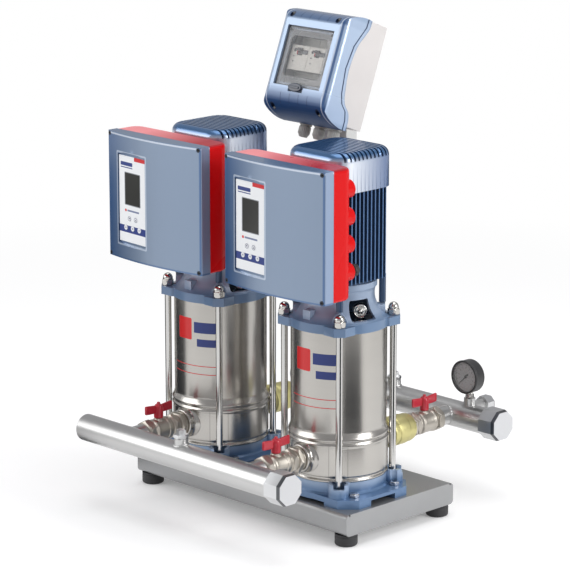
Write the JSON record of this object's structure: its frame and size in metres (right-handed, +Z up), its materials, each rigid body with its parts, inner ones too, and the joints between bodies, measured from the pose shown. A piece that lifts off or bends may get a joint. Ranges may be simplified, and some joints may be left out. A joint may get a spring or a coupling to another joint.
{
  "type": "booster pump set",
  "caption": "Booster set: vertical multistage pumps with inverters between suction and delivery manifolds, with ball and check valves, gauge and a tilted control box on a post.",
  "frame": {"origin": "on the floor under the middle of the base tray", "axes": "+Z up; X along the two manifolds, with their open ends at -X; -Y is the front, where the inverters and the suction manifold are"},
  "size_m": [0.542, 0.6613, 0.8753],
  "materials": {
    "tray_grey": "satin grey paint",
    "foot_rubber": "matt",
    "zinc_steel": "zinc plated",
    "cast_blue": "blue enamel over casting",
    "stainless": "fine brushed",
    "polished_steel": "polished",
    "hidden_steel": "turned",
    "seal_dark": "matt",
    "nickel": "nickel plated",
    "motor_blue": "dark blue paint",
    "winding": "lacquered winding and core",
    "fan_plastic": "matt",
    "cowl_blue": "semi-gloss blue paint",
    "housing_red": "gloss red paint",
    "cover_blue": "satin steel blue paint",
    "panel_film": "printed film",
    "key_grey": "soft key caps",
    "screw_dark": "dark screws",
    "pipe_steel": "bright steel tube",
    "cap_chrome": "polished",
    "check_yellow": "pale yellow chromate",
    "handle_red": "red coating",
    "gauge_black": "black case and dial",
    "gauge_lens": "clear lens",
    "needle_pale": "pale pointer",
    "box_blue": "light blue moulding",
    "box_grey": "pale warm grey moulding",
    "smoked_glass": "smoked window",
    "latch_dark": "dark blue turn latch",
    "breaker_grey": "pale grey moulding",
    "lever_red": "red and black toggle",
    "gland_grey": "grey nylon",
    "post_grey": "light grey paint"
  },
  "bodies": {
    "frame": {"base_tray": "tray_grey", "rubber_feet": "foot_rubber", "base_bolts": "zinc_steel", "pump_feet": "cast_blue", "pump_casings": "stainless", "tie_rods": "polished_steel", "cap_nuts": "polished_steel", "seal_plates": "hidden_steel", "shaft_seals": "seal_dark", "stage_diffusers": "hidden_steel", "lanterns": "cast_blue", "vent_plugs": "nickel", "motor_housings": "motor_blue", "stators": "winding", "bearings": "hidden_steel", "fan_cowls": "cowl_blue", "inverter_housings": "housing_red", "inverter_covers": "cover_blue", "inverter_panels": "panel_film", "enclosure_screws": "screw_dark", "control_cover": "box_blue", "control_base": "box_grey", "breakers": "breaker_grey", "cable_glands": "gland_grey", "control_post": "post_grey", "suction_manifold": "pipe_steel", "delivery_manifold": "pipe_steel", "pipe_caps": "cap_chrome", "union_nuts": "nickel", "valve_bodies": "nickel", "check_valve_bodies": "check_yellow", "gauge_case": "gauge_black", "gauge_glass": "gauge_lens"},
    "window": {"control_window": "smoked_glass"},
    "latch": {"window_latch": "latch_dark"},
    "needle": {"gauge_needle": "needle_pale"},
    "rotor_left": {"shaft_left": "hidden_steel", "impellers_left": "hidden_steel", "cooling_fan_left": "fan_plastic"},
    "poppet_left": {"check_poppet_left": "nickel"},
    "key_up_left_cap": {"key_up_left": "key_grey"},
    "key_down_left_cap": {"key_down_left": "key_grey"},
    "key_stop_left_cap": {"key_stop_left": "key_grey"},
    "key_set_left_cap": {"key_set_left": "key_grey"},
    "key_start_left_cap": {"key_start_left": "key_grey"},
    "rotor_right": {"shaft_right": "hidden_steel", "impellers_right": "hidden_steel", "cooling_fan_right": "fan_plastic"},
    "poppet_right": {"check_poppet_right": "nickel"},
    "key_up_right_cap": {"key_up_right": "key_grey"},
    "key_down_right_cap": {"key_down_right": "key_grey"},
    "key_stop_right_cap": {"key_stop_right": "key_grey"},
    "key_set_right_cap": {"key_set_right": "key_grey"},
    "key_start_right_cap": {"key_start_right": "key_grey"},
    "breaker_lever_left_toggle": {"breaker_lever_left": "lever_red"},
    "breaker_lever_right_toggle": {"breaker_lever_right": "lever_red"},
    "handle_suction_left_lever": {"handle_suction_left": "handle_red"},
    "handle_delivery_left_lever": {"handle_delivery_left": "handle_red"},
    "handle_suction_right_lever": {"handle_suction_right": "handle_red"},
    "handle_delivery_right_lever": {"handle_delivery_right": "handle_red"}
  },
  "joints": [
    {"name": "window_hinge", "type": "hinge", "parent": "frame", "child": "window", "pos_m": [0, 0.04961, 0.84777], "axis": [-1, 0, 0], "range_deg": [0, 100]},
    {"name": "latch_turn", "type": "hinge", "parent": "window", "child": "latch", "pos_m": [0, 0.01049, 0.74935], "axis": [0, -0.9336, 0.3584], "range_deg": [0, 90]},
    {"name": "needle_turn", "type": "hinge", "parent": "frame", "child": "needle", "pos_m": [0.188, 0.2475, 0.2148], "axis": [0, 1, 0], "range_deg": [0, 270], "stiffness_Nm_per_rad": 0.00002},
    {"name": "rotor_spin_left", "type": "hinge", "parent": "frame", "child": "rotor_left", "pos_m": [-0.15, -0.0355, 0.3], "axis": [0, 0, 1], "continuous": true},
    {"name": "poppet_lift_left", "type": "slide", "parent": "frame", "child": "poppet_left", "axis": [0, 1, 0], "range_m": [0, 0.008], "stiffness_N_per_m": 100},
    {"name": "key_up_left_press", "type": "slide", "parent": "frame", "child": "key_up_left_cap", "axis": [0.0817, 0.9967, 0], "range_m": [0, 0.0008], "stiffness_N_per_m": 300},
    {"name": "key_down_left_press", "type": "slide", "parent": "frame", "child": "key_down_left_cap", "axis": [0.0817, 0.9967, 0], "range_m": [0, 0.0008], "stiffness_N_per_m": 300},
    {"name": "key_stop_left_press", "type": "slide", "parent": "frame", "child": "key_stop_left_cap", "axis": [0.0817, 0.9967, 0], "range_m": [0, 0.0008], "stiffness_N_per_m": 300},
    {"name": "key_set_left_press", "type": "slide", "parent": "frame", "child": "key_set_left_cap", "axis": [0.0817, 0.9967, 0], "range_m": [0, 0.0008], "stiffness_N_per_m": 300},
    {"name": "key_start_left_press", "type": "slide", "parent": "frame", "child": "key_start_left_cap", "axis": [0.0817, 0.9967, 0], "range_m": [0, 0.0008], "stiffness_N_per_m": 300},
    {"name": "rotor_spin_right", "type": "hinge", "parent": "frame", "child": "rotor_right", "pos_m": [0.15, -0.0355, 0.3], "axis": [0, 0, 1], "continuous": true},
    {"name": "poppet_lift_right", "type": "slide", "parent": "frame", "child": "poppet_right", "axis": [0, 1, 0], "range_m": [0, 0.008], "stiffness_N_per_m": 100},
    {"name": "key_up_right_press", "type": "slide", "parent": "frame", "child": "key_up_right_cap", "axis": [0.0817, 0.9967, 0], "range_m": [0, 0.0008], "stiffness_N_per_m": 300},
    {"name": "key_down_right_press", "type": "slide", "parent": "frame", "child": "key_down_right_cap", "axis": [0.0817, 0.9967, 0], "range_m": [0, 0.0008], "stiffness_N_per_m": 300},
    {"name": "key_stop_right_press", "type": "slide", "parent": "frame", "child": "key_stop_right_cap", "axis": [0.0817, 0.9967, 0], "range_m": [0, 0.0008], "stiffness_N_per_m": 300},
    {"name": "key_set_right_press", "type": "slide", "parent": "frame", "child": "key_set_right_cap", "axis": [0.0817, 0.9967, 0], "range_m": [0, 0.0008], "stiffness_N_per_m": 300},
    {"name": "key_start_right_press", "type": "slide", "parent": "frame", "child": "key_start_right_cap", "axis": [0.0817, 0.9967, 0], "range_m": [0, 0.0008], "stiffness_N_per_m": 300},
    {"name": "breaker_lever_left_flip", "type": "hinge", "parent": "frame", "child": "breaker_lever_left_toggle", "pos_m": [-0.0264, 0.05001, 0.80488], "axis": [1, 0, 0], "range_deg": [0, 50]},
    {"name": "breaker_lever_right_flip", "type": "hinge", "parent": "frame", "child": "breaker_lever_right_toggle", "pos_m": [0.0164, 0.05001, 0.80488], "axis": [1, 0, 0], "range_deg": [0, 50]},
    {"name": "handle_suction_left_turn", "type": "hinge", "parent": "frame", "child": "handle_suction_left_lever", "pos_m": [-0.15, -0.1885, 0.137], "axis": [0, 0, 1], "range_deg": [0, 90]},
    {"name": "handle_delivery_left_turn", "type": "hinge", "parent": "frame", "child": "handle_delivery_left_lever", "pos_m": [-0.15, 0.1855, 0.137], "axis": [0, 0, 1], "range_deg": [0, 90]},
    {"name": "handle_suction_right_turn", "type": "hinge", "parent": "frame", "child": "handle_suction_right_lever", "pos_m": [0.15, -0.1885, 0.137], "axis": [0, 0, 1], "range_deg": [0, 90]},
    {"name": "handle_delivery_right_turn", "type": "hinge", "parent": "frame", "child": "handle_delivery_right_lever", "pos_m": [0.15, 0.1855, 0.137], "axis": [0, 0, 1], "range_deg": [0, 90]}
  ]
}
